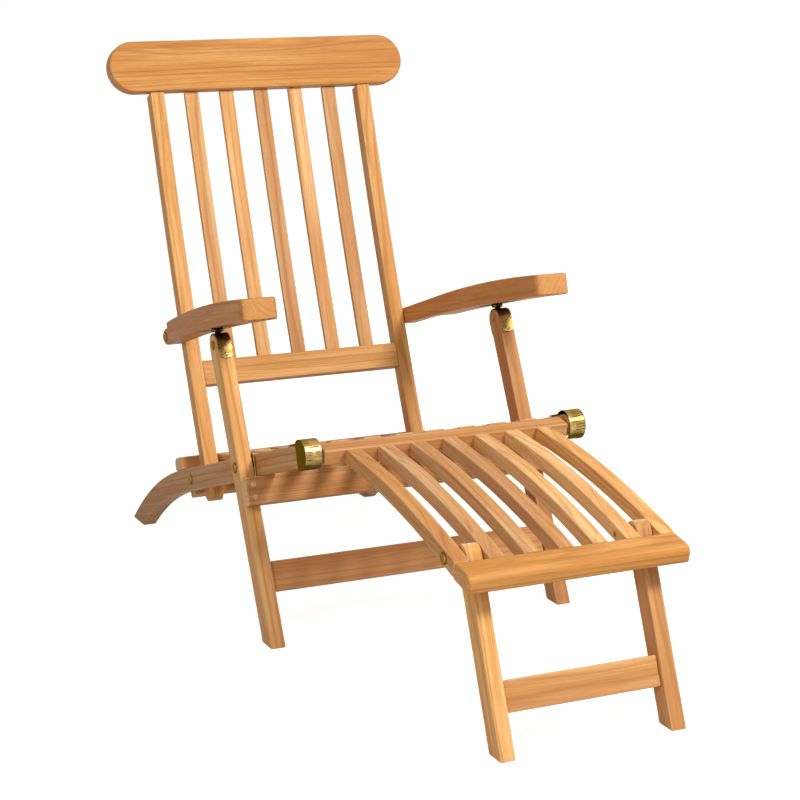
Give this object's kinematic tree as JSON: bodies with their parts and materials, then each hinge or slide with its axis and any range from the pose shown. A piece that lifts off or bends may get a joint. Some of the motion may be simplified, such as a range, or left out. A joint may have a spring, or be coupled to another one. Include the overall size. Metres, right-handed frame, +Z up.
{
  "type": "steamer deck chair",
  "caption": "Folding slatted teak steamer chair with a sloping back, arms on brass rack plates, and a hinged footrest on folding legs",
  "frame": {"origin": "on the ground under the middle of the chair's length and width", "axes": "+Z up, +Y to the rear (head end), +X to the sitter's left"},
  "size_m": [0.61, 1.4294, 0.9571],
  "materials": {
    "frame_teak": "oiled teak, satin",
    "slat_teak": "oiled teak, satin",
    "arm_teak": "oiled teak, satin",
    "brass": "dull polished brass"
  },
  "bodies": {
    "root": {"seat_slat_1": "slat_teak", "seat_slat_2": "slat_teak", "seat_slat_3": "slat_teak", "seat_slat_4": "slat_teak", "seat_slat_5": "slat_teak", "seat_slat_6": "slat_teak", "seat_slat_7": "slat_teak", "rear_crossbar": "frame_teak", "rear_stretcher": "frame_teak", "front_seat_rail": "frame_teak", "seat_batten": "frame_teak", "side_rail_left": "frame_teak", "side_rail_right": "frame_teak", "hinge_cap_left": "brass", "hinge_cap_right": "brass", "hinge_pin_left": "brass", "hinge_pin_right": "brass", "wear_plate_left": "brass", "wear_plate_right": "brass", "leg_bolt_left": "brass", "leg_bolt_right": "brass"},
    "back": {"back_stile_left": "frame_teak", "back_stile_right": "frame_teak", "back_lower_rail": "frame_teak", "back_slat_1": "slat_teak", "back_slat_2": "slat_teak", "back_slat_3": "slat_teak", "back_slat_4": "slat_teak", "back_slat_5": "slat_teak", "head_board": "arm_teak", "back_bolt_left": "brass", "back_bolt_right": "brass", "arm_bolt_left": "brass", "arm_bolt_right": "brass"},
    "armrest_left": {"arm_left": "arm_teak", "arm_rack_left": "brass"},
    "armrest_right": {"arm_right": "arm_teak", "arm_rack_right": "brass"},
    "leg_frame": {"post_left": "frame_teak", "post_right": "frame_teak", "front_apron": "frame_teak", "lower_stretcher": "frame_teak", "saddle_left": "brass", "saddle_right": "brass", "saddle_bolt_left": "brass", "saddle_bolt_right": "brass"},
    "footrest": {"foot_rear_rail": "frame_teak", "foot_slat_1": "slat_teak", "foot_slat_2": "slat_teak", "foot_slat_3": "slat_teak", "foot_slat_4": "slat_teak", "foot_slat_5": "slat_teak", "foot_side_rail_left": "frame_teak", "foot_side_rail_right": "frame_teak", "foot_front_board": "arm_teak", "foot_leg_bolt_left": "brass", "foot_leg_bolt_right": "brass"},
    "footrest_legs": {"foot_leg_left": "frame_teak", "foot_leg_right": "frame_teak", "foot_stretcher": "frame_teak"}
  },
  "joints": [
    {"name": "leg_fold", "type": "hinge", "parent": "root", "child": "leg_frame", "pos_m": [0, 0.02786, 0.27529], "axis": [1, 0, 0], "range_deg": [0, 86]},
    {"name": "back_fold", "type": "hinge", "parent": "root", "child": "back", "pos_m": [0, 0.35217, 0.16992], "axis": [1, 0, 0], "range_deg": [0, 79]},
    {"name": "arm_fold_left", "type": "hinge", "parent": "back", "child": "armrest_left", "pos_m": [0, 0.46235, 0.41976], "axis": [1, 0, 0], "range_deg": [-87, 0]},
    {"name": "arm_fold_right", "type": "hinge", "parent": "back", "child": "armrest_right", "pos_m": [0, 0.46235, 0.41976], "axis": [1, 0, 0], "range_deg": [-87, 0]},
    {"name": "footrest_lift", "type": "hinge", "parent": "root", "child": "footrest", "pos_m": [0, -0.19469, 0.3476], "axis": [1, 0, 0], "range_deg": [-60, 0]},
    {"name": "footrest_leg_fold", "type": "hinge", "parent": "footrest", "child": "footrest_legs", "pos_m": [0, -0.58272, 0.27698], "axis": [1, 0, 0], "range_deg": [0, 115]}
  ],
  "couplings": [
    {"joint": "back_fold", "follows": "leg_fold", "ratio": 0.909},
    {"joint": "arm_fold_left", "follows": "leg_fold", "ratio": -1},
    {"joint": "arm_fold_right", "follows": "leg_fold", "ratio": -1}
  ]
}
